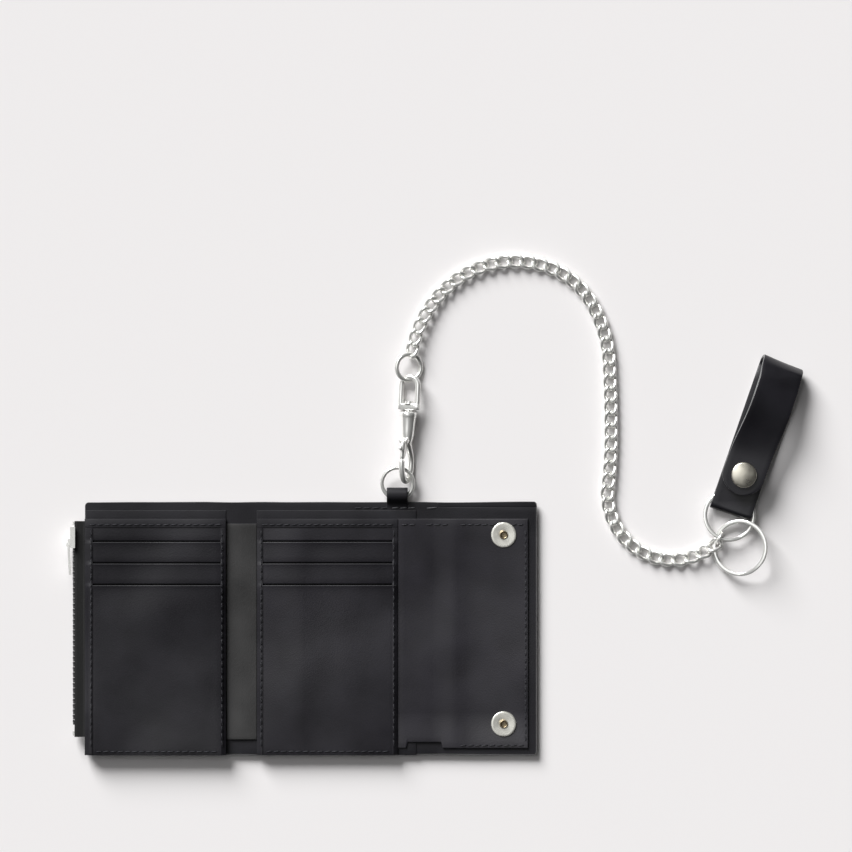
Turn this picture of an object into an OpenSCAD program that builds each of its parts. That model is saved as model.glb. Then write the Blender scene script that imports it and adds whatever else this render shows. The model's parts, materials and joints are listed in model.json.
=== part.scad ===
// Trifold leather wallet with a coin pocket, a snap hook, a curb chain and a belt strap.
// Millimetres. Origin: middle of the centre panel's underside. +X along the open wallet, +Z up.

/* [Wallet] */
// Height of the open wallet, along Y
wallet_h = 115; // [105:1:125]
// Left edge of the left panel
left_x = -112.7; // [-118:0.1:-108]
// Right edge of the flap
right_x = 92.7; // [90:0.1:98]
// Top edge of the card panels, below the banknote mouth
panel_top = 49.8; // [46:0.1:51]
// Fold between the left panel and the left spine
fold_1 = -46.7; // [-47:0.1:-46.5]
// Fold between the left spine and the centre panel
fold_2 = -36.4; // [-36.6:0.1:-36.2]
// Fold between the centre panel and the right spine
fold_3 = 39.8; // [39.6:0.1:40.4]
// Fold between the right spine and the flap
fold_4 = 55.2; // [55:0.1:55.6]
// Right edge of the centre card slots
slot_right = 29.5; // [27:0.1:31]

/* [Leather] */
// Thickness of the outer shell
shell_t = 1.2; // [1:0.1:1.3]
// Thickness of the banknote pocket's lining
bill_t = 0.4; // [0.3:0.1:0.4]
// Thickness of a panel's backing leather
panel_t = 0.6; // [0.6:0.1:0.8]
// Thickness of one card slot layer
slot_t = 0.5; // [0.5:0.1:0.6]
// Thickness of the flap's lining
lining_t = 1; // [0.8:0.1:1]
// Height of the coin pocket's inside
coin_gap = 1.2; // [1.2:0.1:1.4]

/* [Card slots] */
// Height of the upper slot's lip
lip_1 = 39.2; // [36:0.1:42]
// Step from one lip down to the next
lip_step = 9.8; // [8:0.1:11]

/* [Snaps] */
// Diameter of a snap's flange and cap
snap_d = 11.6; // [10:0.1:12]
// Diameter of a stud's post
post_d = 3.6; // [3:0.1:3.6]
// Height of a cap and of a socket
snap_h = 2; // [1.6:0.1:2]
// X of the flap's studs
stud_x = 77.6; // [75:0.1:79]
// Y of the upper and lower snaps
snap_y = [42.5, -43.4];

/* [Zip] */
// Length of the zip's tapes
zip_len = 98; // [90:1:98]
// Pitch of the teeth along one tape
tooth_pitch = 2.4; // [2:0.1:3]

/* [Chain] */
// Wire of a curb link
link_wire = 1.5; // [1.3:0.1:1.5]
// Half length of a link's centre line
link_a = 3.6; // [3.5:0.05:3.7]
// Half width of a link's centre line
link_b = 2.25; // [2.1:0.05:2.3]
// Rise of a link's twist
link_rise = 0.95; // [0.9:0.05:1]
// Distance from one link to the next
link_pitch = 5.61; // [5.6:0.01:5.65]

/* [Rings] */
// Outer diameter of the ring in the leather tab
tab_ring_d = 16; // [15:0.5:16]
// Outer diameter of the strap's ring
strap_ring_d = 24; // [23.5:0.5:24]
// Outer diameter of the key ring
key_ring_d = 25.8; // [25:0.1:26]

/* [Belt strap] */
// Width of the strap
strap_w = 19.4; // [19:0.1:19.4]
// Length of the closed strap
strap_len = 73.2; // [70:0.1:76]
// Thickness of the strap's leather
strap_t = 1.6; // [1.4:0.1:1.6]

/* [Hidden] */
$fn = 48;
gap = 0.2;
fold_r = shell_t / 2;
fold_clear = 1.9;
bottom = -wallet_h / 2;
floor_z = -snap_h;
bill_z = shell_t;
back_z = bill_z + bill_t;
coin_back_t = 0.6;
coin_z = back_z + coin_back_t;
coin_front_z = coin_z + coin_gap;
zip_z = coin_z + coin_gap / 2;
centre_slot_z = back_z + panel_t;
left_slot_z = coin_front_z + panel_t;
left_in = fold_1 - fold_clear;
centre_in = fold_2 + fold_clear;
centre_out = fold_3 - fold_clear;
flap_in = fold_4 + fold_clear;
lining_right = right_x - 4.1;
lining_bottom = bottom + 3.2;
flange_t = 0.6;
hole_d = 3.2;
shank_d = 3;
post_rise = 1.5;
bore_d = 4.2;
bore_depth = 1.7;
// the left panel's sockets meet the flap's studs when the wallet is shut
closed_x = fold_3 - (stud_x - fold_4);
socket_x = fold_1 - (closed_x - fold_2);

zip_top = panel_top - 1;
tape_t = 0.3;
tape_in = -106;
tooth_x = -118.1;
tooth_row = 0.4;
tooth_rise = 1.4;
slider_top = 46.1;
slider_len = 9.5;
slider_half = 3.5;
pull_pivot = [-120.1, 38, zip_z];
pull_len = 13.6;

tab_x = [24.5, 34];
tab_top = 63.8;
tab_root = 50.5;
tab_t = 0.9;
tab_z = 1.6;
tab_wire = 1.8;
tab_ring_tilt = 8;
tab_ring_c = [29.4, 66, tab_z + (tab_ring_d - tab_wire) / 2 * sin(tab_ring_tilt)];

hook_at = [33.4, 75, 2.8];
hook_head = -2.5;
hook_drop = 2;
hook_roll = 58;
swivel_y = 25.6;

jump_d = 13.9;
jump_wire = 1.7;

// links in each chain group, and each group's turn at every link
group_links = [5, 5, 5, 5, 5, 5, 5, 5, 4, 4];
group_turn = [-6, -7, -7, -8.6, -5.2, -0.5, -1.3, 10.6, 11, 10.5];
chain_start = [36.1, 126.5];
chain_head = 82;
chain_z = floor_z + link_rise + link_wire / 2 + 0.05;

strap_at = [180.3, 51.9];
strap_head = 70.9;
strap_gap = 3.2;
strap_ring_z = floor_z + strap_t + strap_gap / 2;
end_ring_wire = 1.2;

black = [0.17, 0.17, 0.18];
inner_black = [0.2, 0.2, 0.21];
nickel = [0.85, 0.85, 0.82];

// ---- shared shapes ----

// A flat sheet between two X, two Y and two Z values
module sheet(x0, x1, y0, y1, z, t) {
    translate([x0, y0, z]) cube([x1 - x0, y1 - y0, t]);
}

// A sheet with rounded outer corners at its left or right end
module round_sheet(x0, x1, y0, y1, z, t, r, at_left) {
    far = at_left ? x1 : x0;
    translate([0, 0, z]) linear_extrude(t) union() {
        translate([x0 + r, y0 + r]) circle(r);
        translate([x0 + r, y1 - r]) circle(r);
        translate([x1 - r, y0 + r]) circle(r);
        translate([x1 - r, y1 - r]) circle(r);
        translate([x0 + r, y0]) square([x1 - x0 - 2 * r, y1 - y0]);
        translate([x0, y0 + r]) square([x1 - x0, y1 - y0 - 2 * r]);
        translate([far - (at_left ? r : 0), y0]) square([r, y1 - y0]);
    }
}

// A spine of shell leather whose two long edges are round about its folds
module spine_shell(x0, x1) {
    sheet(x0, x1, bottom, -bottom, 0, shell_t);
    for (x = [x0, x1])
        translate([x, -bottom, fold_r]) rotate([90, 0, 0]) cylinder(r = fold_r, h = wallet_h);
}

// Holes for the two shanks of a column of snaps
module snap_holes(x) {
    for (y = snap_y)
        translate([x, y, -1]) cylinder(d = hole_d, h = 12);
}

module ring(d, wire) {
    rotate_extrude() translate([(d - wire) / 2, 0]) circle(d = wire, $fn = 24);
}

// ---- centre panel ----

module shell_center() {
    color(black) sheet(fold_2 + fold_r + gap, fold_3 - fold_r - gap, bottom, -bottom, 0, shell_t);
}

module bill_lining_center() {
    color(inner_black) sheet(centre_in, centre_out, bottom, tab_root, bill_z, bill_t);
}

module center_card_backing() {
    color(black) sheet(centre_in, centre_out, bottom, panel_top, back_z, panel_t);
}

module center_slot(i) {
    color(black)
        sheet(centre_in, slot_right, bottom, lip_1 - i * lip_step, centre_slot_z + i * slot_t, slot_t);
}
module center_card_slot_upper() { center_slot(0); }
module center_card_slot_middle() { center_slot(1); }
module center_card_pocket() { center_slot(2); }

// A folded loop of leather that holds the ring at the wallet's top edge
module ring_tab() {
    bore = tab_wire / 2 + 1.2;
    loop_y = tab_top - bore - tab_t;
    pivot_y = 59.95;
    color(black) translate([tab_x[1], 0, tab_z + 0.14]) rotate([0, -90, 0])
        linear_extrude(tab_x[1] - tab_x[0]) difference() {
            union() {
                intersection() {
                    hull() {
                        translate([0, loop_y]) circle(bore + tab_t);
                        translate([0, pivot_y]) circle(bore + tab_t);
                    }
                    translate([-5, -bottom + 0.1]) square([10, 10]);
                }
                translate([shell_t - tab_z - 0.14, tab_root + 0.1]) square([tab_t, 7.2]);
            }
            hull() {
                translate([0, loop_y]) circle(bore);
                translate([0, pivot_y]) circle(bore);
            }
        }
}

// ---- left spine ----

module shell_left_spine() { color(black) spine_shell(fold_1, fold_2); }

module spine_strip() {
    color([0.28, 0.28, 0.29])
        sheet(fold_1 + 0.9, fold_2 - 0.9, bottom + 7, panel_top - 2.2, shell_t, 0.8);
}

// ---- left panel and coin pocket ----

module shell_left() {
    color(black) difference() {
        round_sheet(left_x, fold_1 - fold_r - gap, bottom, -bottom, 0, shell_t, 3, true);
        snap_holes(socket_x);
    }
}

module bill_lining_left() {
    color(inner_black) difference() {
        sheet(left_x + 0.5, left_in, bottom + 0.5, -bottom - 4, bill_z, bill_t);
        snap_holes(socket_x);
    }
}

module coin_pocket_back() {
    color(inner_black) difference() {
        sheet(left_x, left_in, bottom, panel_top, back_z, coin_back_t);
        snap_holes(socket_x);
    }
}

// A U-shaped edge strip that closes the pocket on the three sides without the zip
module coin_pocket_gusset() {
    strip = 3;
    color(inner_black) difference() {
        sheet(-105, left_in, bottom, panel_top, coin_z, coin_gap);
        sheet(-106, left_in - strip, bottom + strip, panel_top - strip, coin_z - 1, coin_gap + 2);
    }
}

module coin_pocket_front() {
    color(black) sheet(left_x, left_in, bottom, panel_top, coin_front_z, panel_t);
}

module left_slot(i) {
    color(black)
        sheet(left_x + 0.4, left_in, bottom, lip_1 - i * lip_step, left_slot_z + i * slot_t, slot_t);
}
module left_card_slot_upper() { left_slot(0); }
module left_card_slot_middle() { left_slot(1); }
module left_card_pocket() { left_slot(2); }

// ---- zip ----

// One tape, flat in the pocket and spread at the teeth; side is 1 in front and -1 behind
module zip_tape(side) {
    flat = coin_gap / 2 - tape_t;
    spread = 1.6;
    color([0.1, 0.1, 0.1]) translate([0, zip_top, zip_z]) rotate([90, 0, 0])
        linear_extrude(zip_len) scale_side(side) polygon([
            [tape_in, flat], [-113.2, flat], [-116.2, spread - tape_t], [-117.3, spread - tape_t],
            [-117.3, spread], [-116.4, spread], [-113.4, flat + tape_t], [tape_in, flat + tape_t]
        ]);
}
module scale_side(side) {
    if (side > 0) children();
    else mirror([0, 1]) children();
}
module zip_tape_back() { zip_tape(-1); }
module zip_tape_front() { zip_tape(1); }

// Two rows of teeth, left apart so that the slider's post can pass
module zip_teeth() {
    count = floor((zip_len - 8) / tooth_pitch);
    color(nickel) for (i = [0 : count - 1], side = [0, 1])
        translate([tooth_x, zip_top - 5 - (i + side / 2) * tooth_pitch,
                   zip_z + (side == 0 ? tooth_row : -tooth_row - tooth_rise)])
            cube([0.8, 1.2, tooth_rise]);
}

module tape_clip(y) {
    for (side = [0, 1])
        translate([tooth_x, y, zip_z + (side == 0 ? tooth_row : -tooth_row - tooth_rise)])
            cube([0.8, 1.6, tooth_rise]);
}
module zip_top_stop() { color(nickel) tape_clip(zip_top - 1.8); }

module zip_bottom_stop() {
    color(nickel) translate([tooth_x, zip_top - zip_len + 0.6, zip_z - 1.8]) cube([0.8, 2, 3.6]);
}

// Slider: outer plate with folded flanges, a thin post, an inner plate and a bored lug
module zip_slider() {
    y0 = slider_top - slider_len;
    color(nickel) {
        translate([-119.2, y0, zip_z - slider_half]) cube([0.8, slider_len, 2 * slider_half]);
        for (z = [-slider_half, slider_half - 1.2])
            translate([-119.2, y0, zip_z + z]) cube([2.2, slider_len, 1.2]);
        translate([-118.5, y0 + 5, zip_z - 0.25]) cube([2.3, 3.2, 0.5]);
        translate([-116.3, y0, zip_z - 0.9]) cube([0.7, slider_len, 1.8]);
        difference() {
            union() {
                translate([-120.4, pull_pivot[1] - 1, zip_z - 0.5]) cube([1.4, 3.6, 1]);
                translate([pull_pivot[0], pull_pivot[1], zip_z - 0.5]) cylinder(r = 1, h = 1);
            }
            translate([pull_pivot[0], pull_pivot[1], zip_z - 2]) cylinder(r = 0.55, h = 4);
        }
    }
}

// Pull tab: a cross bar in the slider's lug, two arms and a plate
module zip_pull() {
    color(nickel) translate([pull_pivot[0], pull_pivot[1], zip_z]) rotate(3) {
        translate([0, 0, -1.8]) cylinder(r = 0.42, h = 3.6);
        for (z = [-1.8, 0.8])
            translate([-0.45, -4, z]) cube([0.9, 4, 1]);
        translate([-0.45, -pull_len, -1.8]) cube([0.9, pull_len - 3.4, 3.6]);
    }
}

// ---- right spine and flap ----

module shell_right_spine() { color(black) spine_shell(fold_3, fold_4); }

module flap_lining_spine() {
    color(black) sheet(fold_3 + 0.9, fold_4 - 0.9, lining_bottom, panel_top, shell_t, lining_t);
}

module shell_flap() {
    color(black) difference() {
        round_sheet(fold_4 + fold_r + gap, right_x, bottom, -bottom, 0, shell_t, 3, false);
        snap_holes(stud_x);
    }
}

module flap_lining() {
    color(black) difference() {
        sheet(flap_in, lining_right, lining_bottom, panel_top, shell_t, lining_t);
        snap_holes(stud_x);
    }
}

// ---- snaps ----

// A low domed cap below z = 0 with a shank up to rise
module cap(rise) {
    dome_r = 12.5;
    translate([0, 0, -1]) cylinder(d = snap_d, h = 1);
    intersection() {
        translate([0, 0, dome_r - snap_h]) sphere(dome_r, $fn = 96);
        translate([0, 0, -snap_h]) cylinder(d = snap_d, h = snap_h - 1);
    }
    translate([0, 0, -1]) cylinder(d = shank_d, h = 1 + rise);
}

// A flange above z = 0 with a hollow post
module stud() {
    difference() {
        union() {
            cylinder(d = snap_d, h = flange_t);
            cylinder(d = post_d, h = flange_t + post_rise);
        }
        translate([0, 0, flange_t]) cylinder(d = 1.8, h = 3);
    }
}

// A ring below z = 0 with a bore for the stud's post
module socket() {
    difference() {
        translate([0, 0, -snap_h]) cylinder(d = snap_d - 0.8, h = snap_h);
        translate([0, 0, -snap_h - 1]) cylinder(d = bore_d, h = 1 + bore_depth);
    }
}

module snap_sockets() {
    color(nickel) for (y = snap_y) translate([socket_x, y, 0]) socket();
}

module snap_socket_posts() {
    color(nickel) for (y = snap_y) translate([socket_x, y, 0]) {
        cylinder(d = shank_d, h = coin_z);
        translate([0, 0, coin_z]) cylinder(d = 7, h = 0.5);
    }
}

module snap_caps() {
    color(nickel) for (y = snap_y) translate([stud_x, y, 0]) cap(shell_t + lining_t);
}

module snap_studs() {
    color(nickel) for (y = snap_y) translate([stud_x, y, shell_t + lining_t]) stud();
}

// ---- tab ring and snap hook ----

module tab_ring() { color(nickel) translate(tab_ring_c) rotate([tab_ring_tilt, 0, 0]) ring(tab_ring_d, tab_wire); }

// The hook's own frame: +Y up its stem, XZ across it
module hook_frame() {
    translate(hook_at) rotate([-hook_drop, 0, hook_head]) rotate([0, hook_roll, 0]) children();
}

// Centre line of the hook's bar: down one side, round the curl and up to the tip
function hook_point(t) =
    t < 0.4 ? [bar_x * sin(90 * t / 0.4), bar_top * (1 - t / 0.4)]
            : let (a = 180 * (t - 0.4) / 0.6) [bar_x * cos(a), -curl_y * sin(a)];
bar_x = 4.1;
bar_top = 9.5;
bar_r = 1.35;
curl_y = 7.95;
gate_pivot = [-2.7, 10.3];
gate_pin_r = 0.5;
gate_half = 1.15;
ear_t = 0.75;

module hook_body() {
    steps = 18;
    color(nickel) hook_frame() difference() {
        union() {
            translate([0, 9, 0]) rotate([-90, 0, 0]) cylinder(r1 = 2.2, r2 = 3.1, h = 5.01);
            translate([0, 14, 0]) rotate([-90, 0, 0]) cylinder(r1 = 3.1, r2 = 3.6, h = 9.4);
            sweep([for (i = [0 : steps]) let (p = hook_point(i / steps)) [p[0], p[1], 0]], bar_r);
            translate([-bar_x, 0.1, 0]) sphere(bar_r, $fn = 20);
            for (z = [-gate_half - 0.15 - ear_t, gate_half + 0.15]) {
                translate([gate_pivot[0], gate_pivot[1], z]) cylinder(r = 1.3, h = ear_t);
                translate([gate_pivot[0], gate_pivot[1] - 1.3, z]) cube([2.7, 2.6, ear_t]);
            }
        }
        translate([-6, 8, -gate_half - 0.15]) cube([4.8, 4, 2 * gate_half + 0.3]);
        translate([gate_pivot[0], gate_pivot[1], -5]) cylinder(r = gate_pin_r + 0.02, h = 10);
        translate([0, 19, 0]) rotate([-90, 0, 0]) cylinder(r = 1.15, h = 10);
        translate([0, 18.2, 0]) rotate([-90, 0, 0]) cylinder(r = 2.6, h = 3);
    }
}

// Spring gate that closes the hook, with its thumb lever
module hook_gate() {
    color(nickel) hook_frame() difference() {
        union() {
            sweep([[-2.7, 10, 0], [-3.3, 8.4, 0], [-3.9, 6, 0], [-bar_x, 2.1, 0]], 1.05);
            translate([-5.3, 6.6, 0]) sphere(1.15, $fn = 20);
            translate([gate_pivot[0], gate_pivot[1], -gate_half]) cylinder(r = 1.3, h = 2 * gate_half);
        }
        translate([gate_pivot[0], gate_pivot[1], -5]) cylinder(r = gate_pin_r + 0.08, h = 10);
    }
}

module gate_pin() {
    reach = gate_half + 0.15 + ear_t + 0.15;
    color(nickel) hook_frame()
        translate([gate_pivot[0], gate_pivot[1], -reach]) cylinder(r = gate_pin_r, h = 2 * reach);
}

// ---- swivel, along the stem ----

module swivel_frame() {
    translate(hook_at) rotate([-hook_drop, 0, hook_head]) translate([0, swivel_y, 0])
        rotate([0, frame_roll, 0]) children();
}
frame_roll = -23.5;

// A stirrup: a bored base, two round sides and an arch for the jump ring
module swivel_eye() {
    half = 4.2;
    bar = 0.95;
    arch_y = 9.9;
    color(nickel) swivel_frame() difference() {
        union() {
            translate([-half - bar, -1.2, -1.5]) cube([2 * (half + bar), 2.6, 3]);
            for (x = [-half, half])
                translate([x, 0, 0]) rotate([-90, 0, 0]) cylinder(r = bar, h = arch_y, $fn = 24);
            translate([0, arch_y, 0]) rotate_extrude(angle = 180)
                translate([half, 0]) circle(bar, $fn = 24);
        }
        translate([0, -3, 0]) rotate([-90, 0, 0]) cylinder(r = 1.2, h = 6);
    }
}

module swivel_pin() {
    color(nickel) translate(hook_at) rotate([-hook_drop, 0, hook_head]) {
        translate([0, 19.4, 0]) rotate([-90, 0, 0]) cylinder(r = 1.1, h = swivel_y - 17.4);
        translate([0, 18.4, 0]) rotate([-90, 0, 0]) cylinder(r = 2.4, h = 1.6);
        translate([0, swivel_y + 1.6, 0]) rotate([-90, 0, 0]) cylinder(r = 2, h = 1);
    }
}

module jump_ring() {
    color(nickel) translate([34.52, 118.65, 1.63]) rotate([2.4, 0, hook_head]) rotate([0, 22.7, 0])
        ring(jump_d, jump_wire);
}

// ---- curb chain ----

// A tube of round section along a list of points
module sweep(points, r, sides = 8) {
    n = len(points);
    rings = [for (i = [0 : n - 1])
        let (d = points[min(i + 1, n - 1)] - points[max(i - 1, 0)],
             u = unit([-d[1], d[0], 0]), v = unit(cross(d, u)))
        for (k = [0 : sides - 1]) points[i] + r * (u * cos(360 * k / sides) + v * sin(360 * k / sides))];
    polyhedron(rings, concat(
        [[for (k = [0 : sides - 1]) k]],
        [for (i = [0 : n - 2], k = [0 : sides - 1])
            let (a = i * sides, c = a + sides, b = (k + 1) % sides) each [[a + k, c + k, c + b], [a + k, c + b, a + b]]],
        [[for (k = [sides - 1 : -1 : 0]) (n - 1) * sides + k]]));
}
function unit(v) = v / norm(v);

// A closed twisted oval of round wire
module curb_link() {
    steps = 18;
    sides = 6;
    function at(t) = [link_a * cos(t), link_b * sin(t), link_rise * sin(2 * t)];
    rings = [for (i = [0 : steps - 1])
        let (t = 360 * i / steps, d = at(t + 2) - at(t - 2), u = unit([-d[1], d[0], 0]), v = unit(cross(d, u)))
        for (k = [0 : sides - 1])
            at(t) + link_wire / 2 * (u * cos(360 * k / sides) + v * sin(360 * k / sides))];
    polyhedron(rings, [for (i = [0 : steps - 1], k = [0 : sides - 1])
        let (a = i * sides, c = ((i + 1) % steps) * sides, b = (k + 1) % sides)
            each [[a + k, c + k, c + b], [a + k, c + b, a + b]]]);
}

// Turn of every link, then its heading and its place
turns = [for (g = [0 : len(group_links) - 1], i = [1 : group_links[g]]) group_turn[g]];
function head(k) = k == 0 ? chain_head : head(k - 1) + turns[k - 1];
heads = [for (k = [0 : len(turns)]) head(k)];
function place(k) = k == 0 ? chain_start
    : place(k - 1) + link_pitch * [cos(heads[k]), sin(heads[k])];
function first(g) = g == 0 ? 0 : first(g - 1) + group_links[g - 1];
// how near a link is to an end of the chain: 1 at the end link, 0 a few links on
function near_start(k) = max(0, 5 - k) / 5;
function near_end(k) = max(0, k - len(turns) + 4) / 3;
// the links at each end climb, dip and roll to meet the rings
start_rise = 1.6;
start_roll = -22;
end_rise = 1.15;
end_roll = -29.7;
function lift(k) = chain_z + start_rise * near_start(k) + end_rise * near_end(k);
function dip(k) = atan((lift(k - 1) - lift(k + 1)) / (2 * link_pitch));
function roll(k) = start_roll * near_start(k) + end_roll * near_end(k);

module chain_group(g) {
    color(nickel) for (k = [first(g) : first(g) + group_links[g] - 1])
        translate([place(k)[0], place(k)[1], lift(k)])
            rotate([roll(k), dip(k), (heads[k] + heads[k + 1]) / 2]) curb_link();
}
module chain_links_01() { chain_group(0); }
module chain_links_02() { chain_group(1); }
module chain_links_03() { chain_group(2); }
module chain_links_04() { chain_group(3); }
module chain_links_05() { chain_group(4); }
module chain_links_06() { chain_group(5); }
module chain_links_07() { chain_group(6); }
module chain_links_08() { chain_group(7); }
module chain_links_09() { chain_group(8); }
module chain_links_10() { chain_group(9); }

module chain_end_ring() {
    color(nickel) translate([175.7, 40.93, 1.95]) rotate([0, 95.35, 151.5]) ring(6.2, end_ring_wire);
}

// ---- strap ring and key ring ----

module strap_ring() {
    color(nickel) translate([180.2, 51.4, strap_ring_z + 0.5]) rotate(a = 5, v = [-0.945, 0.327, 0])
        ring(strap_ring_d, 1.8);
}

module key_ring() {
    color(nickel) translate([184.9, 36.7, 2.56]) rotate([-1.7, -17.2, 0]) ring(key_ring_d, 1.8);
}

// ---- belt strap: x along the strap, z up ----

module strap_frame() {
    translate([strap_at[0], strap_at[1], 0]) rotate(strap_head) children();
}

// A band of leather along a list of [x, z] points
module band(points, w) {
    n = len(points);
    side = [for (i = [0 : n - 1])
        let (d = points[min(i + 1, n - 1)] - points[max(i - 1, 0)]) unit([-d[1], d[0]]) * strap_t / 2];
    translate([0, w / 2, 0]) rotate([90, 0, 0]) linear_extrude(w) polygon(concat(
        [for (i = [0 : n - 1]) points[i] + side[i]],
        [for (i = [n - 1 : -1 : 0]) points[i] - side[i]]));
}

low_z = floor_z + strap_t / 2;
lower_z = low_z + strap_gap + strap_t;
snap_s = 18.9;
flap_z = lower_z + strap_t + flange_t + snap_h;
bend_r = (lower_z - low_z) / 2;
top_r = 4.4;
top_s = strap_len - top_r - strap_t / 2;
hinge_s = top_s - 2;
hinge_z = low_z + 2 * top_r + 0.6;

// Back layer with the lower fold and the short front layer that carries the stud
module belt_strap() {
    mid_z = (low_z + lower_z) / 2;
    color(black) strap_frame() difference() {
        band(concat(
            [[27, lower_z], [bend_r + strap_t / 2, lower_z]],
            [for (a = [100 : 10 : 260]) [bend_r + strap_t / 2 + bend_r * cos(a), mid_z + bend_r * sin(a)]],
            [[bend_r + strap_t / 2, low_z], [top_s, low_z]],
            [for (a = [-80 : 10 : 80]) [top_s + top_r * cos(a), low_z + top_r + top_r * sin(a)]],
            [[hinge_s + strap_t / 2 + 0.5, hinge_z]]), strap_w);
        translate([snap_s, 0, floor_z - 1]) cylinder(d = hole_d, h = 12);
    }
}

function flap_height(s) =
    let (peak = 50, t = s > peak ? (hinge_s - s) / (hinge_s - peak) : (s - 27) / (peak - 27),
         low = s > peak ? hinge_z : flap_z, e = max(0, min(1, t)))
    low + (11.4 - low) * e * e * (3 - 2 * e);

// Front layer from the upper bend to the rounded free end, with the snap's cap and socket
module strap_flap() {
    tip = snap_s - 9.2;
    round_r = strap_w / 2 + 0.1;
    color(black) strap_frame() {
        difference() {
            intersection() {
                band([for (s = [hinge_s : -2.4 : 28]) [s, flap_height(s)], [27, flap_z], [tip - 1, flap_z]], strap_w);
                translate([0, 0, floor_z]) linear_extrude(20) union() {
                    translate([tip + round_r, 0]) circle(round_r);
                    translate([tip + round_r, -strap_w]) square([80, 2 * strap_w]);
                }
            }
            translate([snap_s, 0, floor_z]) cylinder(d = hole_d, h = 20);
        }
        translate([hinge_s, strap_w / 2, hinge_z]) rotate([90, 0, 0])
            cylinder(d = strap_t - 0.16, h = strap_w);
    }
}

module strap_stud() {
    color(nickel) strap_frame() translate([snap_s, 0, lower_z + strap_t / 2]) stud();
}

// Rivet from the back layer's outside to the stud, through both layers
module strap_back_rivet() {
    color(nickel) strap_frame() translate([snap_s, 0, 0]) {
        translate([0, 0, low_z - strap_t / 2]) cylinder(d = shank_d, h = lower_z - low_z + strap_t);
        translate([0, 0, low_z + strap_t / 2]) cylinder(d = 4.6, h = strap_gap);
    }
}

module strap_socket() {
    color(nickel) strap_frame() translate([snap_s, 0, flap_z - strap_t / 2]) socket();
}

module strap_cap() {
    color(nickel) strap_frame() translate([snap_s, 0, flap_z + strap_t / 2]) mirror([0, 0, 1])
        cap(strap_t);
}

shell_center();
bill_lining_center();
center_card_backing();
center_card_slot_upper();
center_card_slot_middle();
center_card_pocket();
ring_tab();
shell_left_spine();
spine_strip();
shell_left();
bill_lining_left();
coin_pocket_back();
coin_pocket_gusset();
coin_pocket_front();
left_card_slot_upper();
left_card_slot_middle();
left_card_pocket();
zip_tape_back();
zip_tape_front();
zip_teeth();
zip_top_stop();
zip_bottom_stop();
snap_sockets();
snap_socket_posts();
zip_slider();
zip_pull();
shell_right_spine();
flap_lining_spine();
shell_flap();
flap_lining();
snap_caps();
snap_studs();
tab_ring();
hook_body();
hook_gate();
gate_pin();
swivel_eye();
swivel_pin();
jump_ring();
chain_links_01();
chain_links_02();
chain_links_03();
chain_links_04();
chain_links_05();
chain_links_06();
chain_links_07();
chain_links_08();
chain_links_09();
chain_links_10();
chain_end_ring();
strap_ring();
key_ring();
belt_strap();
strap_stud();
strap_back_rivet();
strap_flap();
strap_socket();
strap_cap();
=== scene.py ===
"""Looks of the chain wallet: black leather, black stitching, nickel hardware.

The helpers work in millimetres in the frame's axes and write metres into the meshes. Leather pieces are
sheets (panel) or bands (ribbon), hardware is turned (lathe) or swept (sweep).
"""

import json
import math

import bpy
import numpy as np
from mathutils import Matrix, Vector, noise

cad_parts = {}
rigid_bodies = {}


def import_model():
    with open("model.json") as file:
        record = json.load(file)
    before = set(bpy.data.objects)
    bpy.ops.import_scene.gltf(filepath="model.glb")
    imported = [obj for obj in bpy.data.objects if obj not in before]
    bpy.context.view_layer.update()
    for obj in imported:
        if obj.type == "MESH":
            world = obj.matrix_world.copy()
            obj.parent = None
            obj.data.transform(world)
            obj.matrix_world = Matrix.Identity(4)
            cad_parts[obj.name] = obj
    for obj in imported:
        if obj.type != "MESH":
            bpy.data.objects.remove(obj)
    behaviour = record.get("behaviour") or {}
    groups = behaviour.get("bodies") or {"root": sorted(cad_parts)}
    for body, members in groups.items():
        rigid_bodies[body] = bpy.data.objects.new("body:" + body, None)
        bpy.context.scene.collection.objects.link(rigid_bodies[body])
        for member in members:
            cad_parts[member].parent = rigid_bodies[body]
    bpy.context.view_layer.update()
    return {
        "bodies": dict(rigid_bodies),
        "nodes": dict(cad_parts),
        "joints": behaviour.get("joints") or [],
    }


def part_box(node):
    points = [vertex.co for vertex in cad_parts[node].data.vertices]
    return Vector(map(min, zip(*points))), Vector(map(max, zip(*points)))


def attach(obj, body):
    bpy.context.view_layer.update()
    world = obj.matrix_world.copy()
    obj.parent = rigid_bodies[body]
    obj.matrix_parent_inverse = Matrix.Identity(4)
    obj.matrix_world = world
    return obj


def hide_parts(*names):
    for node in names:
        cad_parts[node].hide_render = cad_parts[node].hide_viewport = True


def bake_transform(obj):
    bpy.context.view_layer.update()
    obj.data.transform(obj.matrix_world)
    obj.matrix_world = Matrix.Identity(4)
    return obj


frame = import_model()
MM = 0.001
joints = {j["name"]: j for j in frame["joints"]}


# ------------------------ places read from the frame

def box(node):
    """Lowest and highest corner of a CAD node, in mm."""
    lo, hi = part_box(node)
    return np.array(lo) / MM, np.array(hi) / MM


def points(node):
    return np.array([v.co for v in frame["nodes"][node].data.vertices], float) / MM


def joint(name):
    """Pivot in mm and unit axis of a joint."""
    return np.array(joints[name]["pos_m"], float) / MM, np.array(joints[name]["axis"], float)


def unit(v):
    v = np.asarray(v, float)
    return v / np.linalg.norm(v)


def axes_of(p):
    """Centre and right-handed axes of a symmetric cloud of points, longest axis first."""
    centre = p.mean(0)
    _, _, vt = np.linalg.svd(p - centre, full_matrices=False)
    return centre, np.array([vt[0], vt[1], np.cross(vt[0], vt[1])])


def ring_of(node):
    """Centre, axes (normal last), outer radius and wire of a ring node."""
    p = np.unique(points(node).round(3), axis=0)
    c, a = axes_of(p)
    q = (p - c) @ a.T
    r = np.hypot(q[:, 0], q[:, 1])
    return c, a, r.max(), np.ptp(q[:, 2])


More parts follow.
